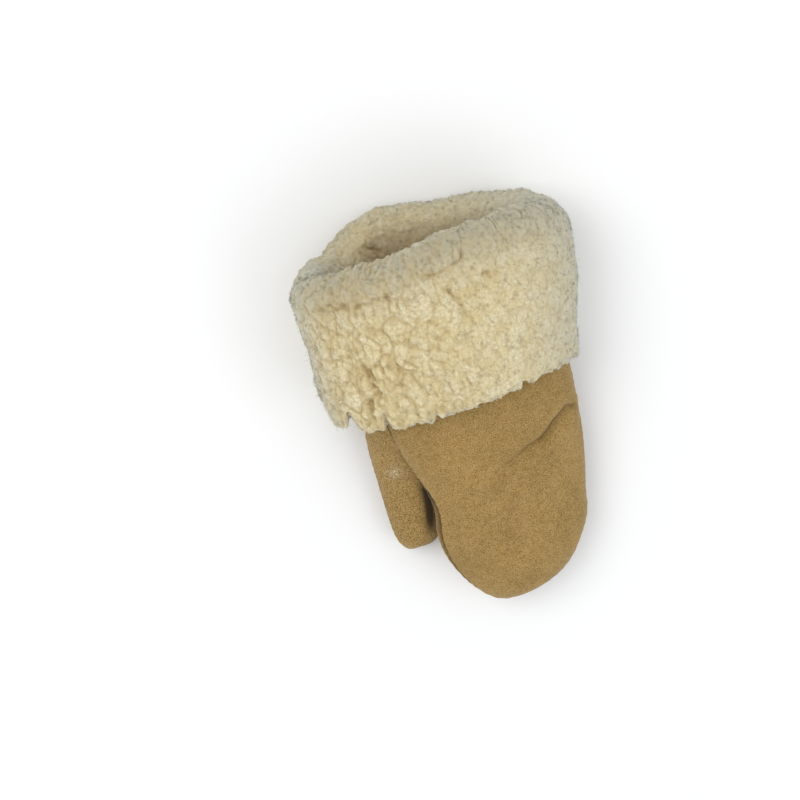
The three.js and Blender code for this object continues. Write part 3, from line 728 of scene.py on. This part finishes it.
def cuffProfile():
    # the wool's face: places along, how far out, and which way it faces, outward and forward
    lift, hemRound = woolBack + 0.25 * mitten["cuffPile"], mitten["hemRound"]
    turn = np.linspace(0, math.pi / 2, wool["hemSteps"] + 1)[:-1]
    hem = (cuffEdge + hemRound * (1 - np.cos(turn)), lift + (woolFace - lift) * np.sin(turn),
           np.sin(turn), -np.cos(turn))
    outside = np.linspace(cuffEdge + hemRound, crown, wool["outsideSteps"])[:-1]
    turn = np.linspace(0, math.pi, wool["rollSteps"] + 1)[:-1]
    radius, middle = (woolFace - mouthFace) / 2, (woolFace + mouthFace) / 2
    roll = (crown + radius * np.sin(turn), middle + radius * np.cos(turn), np.cos(turn), np.sin(turn))
    inside = np.linspace(crown, innerEnd, wool["insideSteps"])
    face = endToEnd(hem, (outside, woolFace, 1, 0), roll, (inside, mouthFace, -1, 0))
    bendPlace, bendOut = foldBend((mouthBack, woolBack), 6)
    innerPlace, startPlace, edgePlace = [placeAt(handRows, y) for y in (innerEnd, bendStart, turnedEdge)]
    back = endToEnd((np.linspace(innerPlace, startPlace, 3), mouthBack), (bendPlace, bendOut),
                    (np.linspace(startPlace, edgePlace, 5), woolBack))
    return face, back


def dome(near):
    return 1 - np.minimum(near, 1) ** 2


def rimTufts(points, run):
    # tufts that lie over the rim, side by side round the mouth, and the painted shade between them
    middle = points[:, len(run) // 2]
    across = np.cumsum(span(np.diff(middle, axis=0, prepend=middle[:1])))[:, None]
    flat = np.stack([across + 0 * run, run + 0 * across, 0 * across * run], -1)
    near, after = lumps(swirl(flat, 12, 2.0, 81), (wool["tuftWide"], wool["tuftLong"], 1), 82)
    apart = smooth(after - near, 0, 0.5)
    return 0.65 * dome(near) + 0.35 * apart, 1 - apart


def woolRelief(points, outward, onRim, upper, run):
    seen = points + shift
    # finer towards the little finger, and inside the mouth
    rough = blend(wool["littleRough"], 1.0, smooth(-seen[..., 0], *wool["littleSide"]))
    rough = rough * (1 - wool["mouthFiner"] * smooth(run, *wool["finer"]))
    moved = swirl(points, wool["swirlSize"], wool["swirl"], 41)
    moved = swirl(moved, wool["fineSwirlSize"], wool["fineSwirl"], 45)
    near, after = lumps(moved, wool["clumpSize"], 51)
    clump = smooth(after - near, 0, 0.35)
    near, after = lumps(moved, wool["lockSize"], 52)
    lock = 0.6 * dome(near) + 0.4 * smooth(after - near, 0, 0.45)
    creaseShade = 1 - smooth(after - near, 0, 0.25)
    curl = dome(lumps(moved, wool["curlSize"], 53)[0])
    height = rough * wool["clumpDeep"] * (clump - 0.8)
    height += (0.45 + 0.55 * rough) * wool["lockDeep"] * (lock - 0.6)
    height += wool["curlDeep"] * (curl - 0.5)
    height += wool["fineDeep"] * waves(points, wool["fineSize"], 54)
    # painted shade in the hollows between clumps, locks and curls
    deep = 0.4 * rough * (1 - clump) + 0.35 * rough * creaseShade + 0.2 * (1 - curl)
    tuft, between = rimTufts(points, run)
    onTuft = onRim * smooth(np.minimum(*fromEdges(points)), *wool["tuftEnds"])
    tuftDeep = wool["tuftDeep"] * wool["tuftShare"][upper]
    height = height * (1 - 0.3 * onTuft) + tuftDeep * (tuft - 0.55) * onTuft
    deep = deep * (1 - 0.3 * onTuft) + 0.3 * between * onTuft
    # partings show on the outside over the back, and inside the mouth on the palm's side
    shown = smooth(outward if upper else -outward, -0.2, 0.3)
    wander = swirl(seen, 5, 1.8, 61)
    broken = 0.5 + 0.5 * smooth(waves(points, 4.5, 62), -0.35, 0.35)
    for line in partings if upper else palmPartings:
        away, strength, _ = alongLine(wander, line)
        groove = strength * broken * shown * bell(away, wool["partingWide"])
        height -= wool["partingDeep"] * groove
        # painted shade in the partings
        deep += 0.7 * groove
    for x, y, z, wide, rise in backSwells if upper else palmSwells:
        height += rise * bell(span(seen - np.array([x, y, z])), wide)
    return height, np.clip(deep, 0, 1)


def raggedHem(points, upper):
    # how much further the lower edge hangs, less where it is notched
    flat = points * np.array([1, 0, 1])
    near, _ = lumps(swirl(flat, 9, 2.0, 71), wool["hemLobe"], 72)
    hang = -wool["hemRagged"] * (0.6 - near) - wool["hemRipple"] * waves(flat, 2.6, 73)
    if upper:
        hang -= wool["hemLower"]
        for x, deep, wide in notches:
            hang += deep * bell(points[..., 0] + shift[0] - x, wide)
    start, end = wool["hemReach"]
    return hang * (1 - smooth(points[..., 1], cuffEdge + start, cuffEdge + end))


def makeCuffWool(name, upper):
    (y, out, outward, forward), (backPlace, backOut) = cuffProfile()
    columns = wool["columns"][upper]
    place = placeAt(handRows, y)
    base = acrossPanel(place, out, columns, upper)
    run = np.cumsum(np.hypot(np.diff(y, prepend=y[0]), np.diff(out, prepend=out[0])))
    onRim = bell(run - wool["rim"], wool["rimWide"])
    height, deep = woolRelief(base, outward, onRim, upper, run)
    face = acrossPanel(place, out, columns, upper, height * outward)
    face[..., 1] += height * forward + raggedHem(base, upper)
    if not upper:
        # pressed on the ground, but not to a polished plane
        ground = np.clip(0.9 - 0.8 * height, 0, 1.6) * smooth(8 - base[..., 2], 0, 8) * 0.6
        face[..., 2] = np.maximum(face[..., 2], ground)
    back = acrossPanel(backPlace, backOut, columns, upper)
    rings = np.concatenate([face, back], 1)
    start, end = fromEdges(base)
    fromEnd, fromLittle = np.minimum(start, end), start if upper else end
    # greyer towards the panel's ends and the little finger's side: grey frizz, with painted shade
    side = np.maximum(bell(fromEnd, wool["endShade"]), 0.8 * bell(fromLittle, wool["littleShade"]))
    inMouth = smooth(run, *wool["mouth"])
    # no curls on the ground, and more of them over the join with the other side's wool
    thick = smooth(face[..., 2], 1.5, 4) * (1 + 3 * bell(fromEnd, 1.3))
    # deep: painted shade in creases and partings; mouth and inner: painted shade inside the mouth; rim and
    # edge: grey frizz tips with painted shade
    marks = {
        "deep": deep, "mouth": inMouth, "rim": onRim, "inner": smooth(run, *wool["inner"]),
        "edge": np.maximum(0.8 * bell(run, wool["hem"]), side),
        "outside": thick * (onRim < 0.5) * (inMouth < 0.02),
        "turned": thick * np.maximum(onRim >= 0.5, inMouth >= 0.02) * (inMouth < 0.98),
    }
    return closedPiece(name, rings, marks, len(y))


# curls and stray fibres that stand on the wool
curls = {
    "Density": 0.16e6, "Curl Height": 0.0009, "Curl Width": 0.0009, "Strand Width": 0.0001,
    "Sink": 0.0003, "Lean": 0.8, "Seed": 7,
}
strays = {
    "Density": 0.03e6, "Curl Height": 0.0026, "Curl Width": 0.0012, "Strand Width": 0.00006,
    "Sink": 0.0006, "Lean": 1.1, "Seed": 19,
}
# three shapes of curl: turns, how wide, how tall
curlShapes = [(1.1, 1.0, 1.0), (0.8, 0.8, 1.3), (1.4, 0.75, 0.8)]


def newNode(tree, kind, values=None, **settings):
    node = tree.nodes.new(kind)
    for setting, value in settings.items():
        setattr(node, setting, value)
    for socket, value in (values or {}).items():
        if isinstance(value, bpy.types.Node):
            value = value.outputs[0]
        if isinstance(value, bpy.types.NodeSocket):
            tree.links.new(value, node.inputs[socket])
        else:
            node.inputs[socket].default_value = value
    return node


def times(a, b):
    return newNode(a.id_data, "ShaderNodeMath", {0: a, 1: b}, operation="MULTIPLY").outputs[0]


def makeCurlTree():
    tree = bpy.data.node_groups.new("woolCurls", "GeometryNodeTree")
    for label, kind in (
            ("Surface", "Geometry"), ("Where", "String"), ("Density", "Float"), ("Curl Height", "Float"),
            ("Curl Width", "Float"), ("Strand Width", "Float"), ("Sink", "Float"), ("Lean", "Float"),
            ("Seed", "Int"), ("Finish", "Material")):
        tree.interface.new_socket(label, in_out="INPUT", socket_type="NodeSocket" + kind)
    tree.interface.new_socket("Curls", in_out="OUTPUT", socket_type="NodeSocketGeometry")
    given = newNode(tree, "NodeGroupInput").outputs
    where = newNode(tree, "GeometryNodeInputNamedAttribute", {"Name": given["Where"]}, data_type="FLOAT")
    spots = newNode(tree, "GeometryNodeDistributePointsOnFaces", {
        "Mesh": given["Surface"], "Density": times(where.outputs["Attribute"], given["Density"]),
        "Seed": given["Seed"]})
    along = newNode(tree, "GeometryNodeSplineParameter")
    taper = newNode(tree, "ShaderNodeMapRange", {"Value": along, "To Min": 1.0, "To Max": 0.4})
    ring = newNode(tree, "GeometryNodeCurvePrimitiveCircle", {
        "Resolution": 3, "Radius": given["Strand Width"]})
    shapes = newNode(tree, "GeometryNodeGeometryToInstance")
    for turns, wide, tall in curlShapes:
        start = times(given["Curl Width"], wide)
        spiral = newNode(tree, "GeometryNodeCurveSpiral", {
            "Resolution": 4, "Rotations": turns, "Start Radius": start,
            "End Radius": times(start, 0.35), "Height": times(given["Curl Height"], tall)})
        tapered = newNode(tree, "GeometryNodeSetCurveRadius", {"Curve": spiral, "Radius": taper})
        strand = newNode(tree, "GeometryNodeCurveToMesh", {
            "Curve": tapered, "Profile Curve": ring, "Fill Caps": True})
        tree.links.new(strand.outputs[0], shapes.inputs[0])

    def draw(kind, output, low, high, seed):
        # a random number for each curl; the sockets of each kind have their own numbers
        sockets = {"FLOAT_VECTOR": (0, 1), "FLOAT": (2, 3), "INT": (4, 5)}[kind]
        values = {sockets[0]: low, sockets[1]: high, 8: seed}
        return newNode(tree, "FunctionNodeRandomValue", values, data_type=kind).outputs[output]

    placed = newNode(tree, "GeometryNodeInstanceOnPoints", {
        "Points": spots, "Instance": shapes, "Pick Instance": True,
        "Instance Index": draw("INT", 2, 0, 2, 3), "Rotation": spots.outputs["Rotation"],
        "Scale": draw("FLOAT", 1, 0.65, 1.45, 4)})
    lean = draw("FLOAT_VECTOR", 0, (-1, -1, -math.pi), (1, 1, math.pi), 5)
    reach = newNode(tree, "ShaderNodeCombineXYZ", {"X": given["Lean"], "Y": given["Lean"], "Z": 1.0})
    turn = newNode(tree, "ShaderNodeVectorMath", {0: lean, 1: reach}, operation="MULTIPLY")
    turned = newNode(tree, "GeometryNodeRotateInstances", {"Instances": placed, "Rotation": turn})
    down = newNode(tree, "ShaderNodeCombineXYZ", {"Z": times(given["Sink"], -1.0)})
    sunk = newNode(tree, "GeometryNodeTranslateInstances", {"Instances": turned, "Translation": down})
    toned = newNode(tree, "GeometryNodeStoreNamedAttribute", {
        "Geometry": sunk, "Name": "tone", "Value": draw("FLOAT", 1, 0.0, 1.0, 6)},
        data_type="FLOAT", domain="INSTANCE")
    real = newNode(tree, "GeometryNodeRealizeInstances", {"Geometry": toned})
    dyed = newNode(tree, "GeometryNodeSetMaterial", {"Geometry": real, "Material": given["Finish"]})
    newNode(tree, "NodeGroupOutput", {"Curls": dyed})
    return tree


def growCurls(name, surface, tree, look, where, finish, share=1.0):
    grower = surface.modifiers.new("curls", "NODES")
    grower.node_group = tree
    wanted = dict(look, Where=where, Finish=finish, Density=look["Density"] * share)
    for socket in tree.interface.items_tree:
        if socket.in_out == "INPUT" and socket.name in wanted:
            grower[socket.identifier] = wanted[socket.name]
    view = bpy.context.evaluated_depsgraph_get()
    mesh = bpy.data.meshes.new_from_object(surface.evaluated_get(view), depsgraph=view)
    surface.modifiers.clear()
    mesh.name = name
    print(name, len(mesh.polygons), "faces")
    return addObject(name, mesh)


# finishes
def newMaterial(name, shader):
    material = bpy.data.materials.new(name)
    material.use_nodes = True
    tree = material.node_tree
    skin = tree.nodes["Principled BSDF"]
    for socket, value in shader.items():
        skin.inputs[socket].default_value = value
    return material, tree, skin


def softMaterial(name, sheen, shader):
    # what suede and wool share: a dull face with a soft sheen
    soft = {"Roughness": 0.95, "Sheen Weight": 0.4, "Sheen Roughness": 0.5, "Sheen Tint": linear(*sheen)}
    material, tree, skin = newMaterial(name, soft | shader)
    return material, tree, skin, newNode(tree, "ShaderNodeTexCoord").outputs["Object"]


def mark(tree, name):
    return newNode(tree, "ShaderNodeAttribute", attribute_name=name).outputs["Fac"]


def speckle(place, size, detail=2.0, rough=0.55):
    # soft noise whose grains are about size metres across
    return newNode(place.id_data, "ShaderNodeTexNoise", {
        "Vector": place, "Scale": 1 / size, "Detail": detail, "Roughness": rough}).outputs["Fac"]


def stretch(value, low, high, bottom=0.0, top=1.0):
    return newNode(value.id_data, "ShaderNodeMapRange", {
        "Value": value, "From Min": low, "From Max": high, "To Min": bottom, "To Max": top},
        interpolation_type="SMOOTHSTEP").outputs["Result"]


def tint(share, base, over):
    return newNode(share.id_data, "ShaderNodeMix", {0: share, 6: base, 7: over}, data_type="RGBA").outputs[2]


def linear(red, green, blue):
    # a colour read off a picture, 0 to 255, as light
    return tuple(((v / 255 + 0.055) / 1.055) ** 2.4 for v in (red, green, blue)) + (1.0,)


def wash(base, share, colour, amount=None):
    # a colour over what is there already, by a share from the nodes
    return tint(share if amount is None else times(share, amount), base, linear(*colour))


def addBumps(place, skin, *kinds):
    # each kind's grains: size, detail and roughness, how high and how strong
    under = None
    for size, detail, rough, distance, strength in kinds:
        values = {"Height": speckle(place, size, detail, rough), "Distance": distance, "Strength": strength}
        if under:
            values["Normal"] = under
        under = newNode(place.id_data, "ShaderNodeBump", values)
    place.id_data.links.new(under.outputs["Normal"], skin.inputs["Normal"])


# suede colours: fold darkens the seams and the scratch and paints the shade in and beside the fold and along
# the dents; crevice paints the shade between the palm and the thumb
suedeLook = {
    "light": (156, 124, 70), "dark": (141, 112, 59), "grey": (146, 128, 92), "fold": (84, 60, 28),
    "nap": (98, 73, 34), "tipped": (190, 162, 108), "scuff": (206, 198, 178),
    "pore": (92, 70, 36), "paintedCreviceShade": (54, 40, 24),
}


def makeSuede(name, look, greyShare, grain):
    material, tree, skin, place = softMaterial(name, (206, 196, 172), {"Specular IOR Level": 0.15})
    cloud = stretch(speckle(place, 0.028, 4.0, 0.6), 0.32, 0.68)
    base = tint(cloud, linear(*look["dark"]), linear(*look["light"]))
    # grains of each colour: how much, size in metres, detail, roughness, from and to
    for colour, share, size, detail, rough, low, high in (
            ("tipped", 0.22, 0.0040, 3.0, 0.6, 0.36, 0.66),
            ("grey", greyShare, 0.0022, 2.0, 0.7, 0.5, 0.75),
            ("nap", 0.60 * grain, 0.00075, 1.0, 0.6, 0.45, 0.68),
            ("tipped", 0.55 * grain, 0.00065, 1.0, 0.6, 0.52, 0.72)):
        base = wash(base, stretch(speckle(place, size, detail, rough), low, high), look[colour], share)
    pores = newNode(tree, "ShaderNodeTexVoronoi", {"Vector": place, "Scale": 300.0}).outputs["Distance"]
    base = wash(base, stretch(pores, 0.16, 0.08), look["pore"], 0.5)
    # painted shade in and beside the fold and along the dents, with the seams' and the scratch's own dark
    base = wash(base, mark(tree, "wearAndShade"), look["fold"], 0.78)
    # painted shade in the crevice between the palm and the thumb
    base = wash(base, mark(tree, "paintedCreviceShade"), look["paintedCreviceShade"], 0.97)
    if "thumb" in name:
        rubbed = stretch(speckle(place, 0.0012, 3.0, 0.7), 0.45, 0.62)
        base = wash(base, times(mark(tree, "scuff"), rubbed), look["scuff"], 0.8)
    tree.links.new(base, skin.inputs["Base Color"])
    addBumps(place, skin, (0.0030, 3.0, 0.6, 0.0003, 0.5), (0.0006, 2.0, 0.8, 0.00018, 0.8))
    return material


# wool colours: crease and parting paint the shade in hollows, mouth and mouthDeepShade the shade inside the
# mouth, and rim and edge are grey frizz tips with painted shade
woolLook = {
    "cream": (212, 197, 153), "pale": (223, 213, 180), "creaseShade": (188, 167, 120), "partingShade": (156, 132, 86),
    "mouth": (180, 167, 137), "mouthDeepShade": (134, 107, 68), "rim": (160, 155, 136), "edge": (174, 173, 160),
    "speck": (96, 76, 50), "tan": (188, 161, 104), "ash": (178, 175, 160),
    "stray": (128, 112, 86), "strayTip": (170, 156, 128),
}


def makeWool(name, look, forCurls=False):
    material, tree, skin, place = softMaterial(name, (228, 230, 222), {
        "Specular IOR Level": 0.1, "Subsurface Weight": 0.0 if forCurls else 0.4,
        "Subsurface Scale": 0.003, "Subsurface Radius": (1.0, 0.8, 0.5)})
    cloud = stretch(speckle(place, 0.012, 3.0), 0.32, 0.68)
    base = tint(cloud, linear(*look["cream"]), linear(*look["pale"]))
    patchy = stretch(speckle(place, 0.006, 3.0), 0.25, 0.6, 0.75, 1.0)
    # painted shade in the creases and partings
    deep = mark(tree, "deep")
    base = wash(base, stretch(deep, 0.05, 0.7, 0.0, 0.8), look["creaseShade"])
    base = wash(base, stretch(deep, 0.6, 1.0, 0.0, 0.9), look["partingShade"])
    if forCurls:
        base = wash(base, mark(tree, "tone"), look["pale"], 0.3)
    else:
        specks = newNode(tree, "ShaderNodeTexVoronoi", {"Vector": place, "Scale": 260.0}).outputs["Distance"]
        base = wash(base, stretch(specks, 0.09, 0.05), look["speck"], 0.6)
        # thin lines of painted shade in small creases
        wander = newNode(tree, "ShaderNodeTexNoise", {"Vector": place, "Scale": 320.0, "Detail": 2.0})
        bent = newNode(tree, "ShaderNodeVectorMath", {
            0: wander.outputs["Color"], 1: (0.0022, 0.0022, 0.0022), 2: place}, operation="MULTIPLY_ADD")
        paintedCreases = newNode(tree, "ShaderNodeTexVoronoi", {"Vector": bent.outputs[0], "Scale": 360.0},
                        feature="DISTANCE_TO_EDGE").outputs["Distance"]
        base = wash(base, stretch(paintedCreases, 0.16, 0.0, 0.0, 0.4), look["creaseShade"])
    for colour, share, size, low, high in (
            ("tan", 0.35, 0.0008, 0.45, 0.7), ("ash", 0.18, 0.0011, 0.5, 0.72)):
        base = wash(base, stretch(speckle(place, size, 2.0, 0.8), low, high), look[colour], share)
    shown = times(patchy, stretch(deep, 0.0, 1.0, 0.95, 0.45))
    # grey frizz tips on the rim and the hem, with painted shade on the rim and towards the sides
    for part in ("rim", "edge"):
        base = wash(base, times(mark(tree, part), shown), look[part])
    # painted shade inside the mouth, deepest at its bottom
    inside = tint(stretch(deep, 0.1, 1.0, 0.0, 0.6), linear(*look["mouth"]), linear(*look["mouthDeepShade"]))
    inside = wash(inside, mark(tree, "inner"), look["mouthDeepShade"], 0.7)
    base = tint(times(mark(tree, "mouth"), 0.9), base, inside)
    tree.links.new(base, skin.inputs["Base Color"])
    if not forCurls:
        addBumps(place, skin, (0.0016, 3.0, 0.65, 0.0006, 0.8), (0.0005, 2.0, 0.8, 0.0002, 0.9))
    return material


def dress(piece, material, slot, *nodes):
    piece.data.materials.clear()
    piece.data.materials.append(material)
    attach(piece, "root")
    if nodes:
        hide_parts(*nodes)


backSuede = makeSuede("backSuede", suedeLook, 0.3, 1.15)
thumbSuede = makeSuede("thumbSuede", suedeLook, 0.65, 1.6)
fleeceWool = makeWool("fleeceWool", woolLook)
curlWool = makeWool("curlWool", woolLook, True)
strayWool = makeWool("strayWool", dict(woolLook, cream=woolLook["stray"], pale=woolLook["strayTip"]), True)
print("finishes made")

dress(makeSuedePanel("back_suede", True), backSuede, "suede_back", "back_panel")
palmPiece = makeSuedePanel("palm_suede", False)
handCutter = filledHand(gap, 90, 130)
thumbCutter = filledThumb(-leather, 90, 110)
cutAway(palmPiece, thumbCutter)
keepLargest(palmPiece)
dress(palmPiece, backSuede, "suede_palm", "palm_panel")
dress(makeThumbFace("thumb_palm_face", False, handCutter), thumbSuede, "suede_thumb", "thumb_outer")
dress(makeThumbFace("thumb_back_face", True, handCutter), thumbSuede, "suede_thumb", "thumb_inner")
print("suede cut and sewn")

liningPiece = makeLining("hand_wool")
cutAway(liningPiece, thumbCutter)
keepLargest(liningPiece)
dress(liningPiece, fleeceWool, "lining_wool", "hand_lining")
for cutter in (handCutter, thumbCutter):
    bpy.data.objects.remove(cutter)

backCuff = makeCuffWool("back_cuff_wool", True)
palmCuff = makeCuffWool("palm_cuff_wool", False)
print("cuff wool made")
curlTree = makeCurlTree()
grown = []
for name, surface, look, where, finish, share in (
        ("back_cuff_curls", backCuff, curls, "outside", curlWool, 1.0),
        ("back_rim_curls", backCuff, curls, "turned", curlWool, 1.0),
        ("palm_cuff_curls", palmCuff, curls, "outside", curlWool, 0.5),
        ("palm_rim_curls", palmCuff, curls, "turned", curlWool, 0.9),
        ("back_cuff_strays", backCuff, strays, "outside", strayWool, 1.0),
        ("back_rim_strays", backCuff, strays, "turned", strayWool, 1.0)):
    grown.append((growCurls(name, surface, curlTree, look, where, finish, share), finish))
dress(backCuff, fleeceWool, "cuff_wool", "back_cuff_fleece")
dress(palmCuff, fleeceWool, "cuff_wool", "palm_cuff_fleece")
for piece, finish in grown:
    dress(piece, finish, "cuff_wool")
print("curls grown")

# floor and light
studio = {
    "floor": (0.86, 0.86, 0.85), "floorSize": 6.0, "world": (0.95, 0.97, 1.0), "worldStrength": 0.85,
    "lamps": [
        ("keyLamp", (-0.75, 0.95, 1.6), 1.3, 15.0, (1.0, 0.985, 0.96)),
        ("fillLamp", (1.1, -0.7, 1.3), 1.6, 7.0, (0.96, 0.98, 1.0)),
    ],
}


def makeStudio(look):
    half = look["floorSize"] / 2
    mesh = bpy.data.meshes.new("studioFloor")
    corners = [(-half, -half, 0), (half, -half, 0), (half, half, 0), (-half, half, 0)]
    mesh.from_pydata(corners, [], [(0, 1, 2, 3)])
    floor = addObject("studioFloor", mesh)
    paper, _, _ = newMaterial("studioPaper", {
        "Base Color": look["floor"] + (1.0,), "Roughness": 0.9, "Specular IOR Level": 0.1})
    mesh.materials.append(paper)
    world = bpy.data.worlds.new("studioAir")
    world.use_nodes = True
    air = world.node_tree.nodes["Background"].inputs
    air["Color"].default_value = look["world"] + (1.0,)
    air["Strength"].default_value = look["worldStrength"]
    scene.world = world
    for name, spot, size, power, colour in look["lamps"]:
        lamp = addObject(name, bpy.data.lights.new(name, "AREA"))
        lamp.data.shape, lamp.data.size, lamp.data.energy, lamp.data.color = "DISK", size, power, colour
        lamp.location = spot
        lamp.rotation_euler = (-Vector(spot)).to_track_quat("-Z", "Y").to_euler()
    scene.view_settings.view_transform = "Standard"


makeStudio(studio)
print("studio lit")
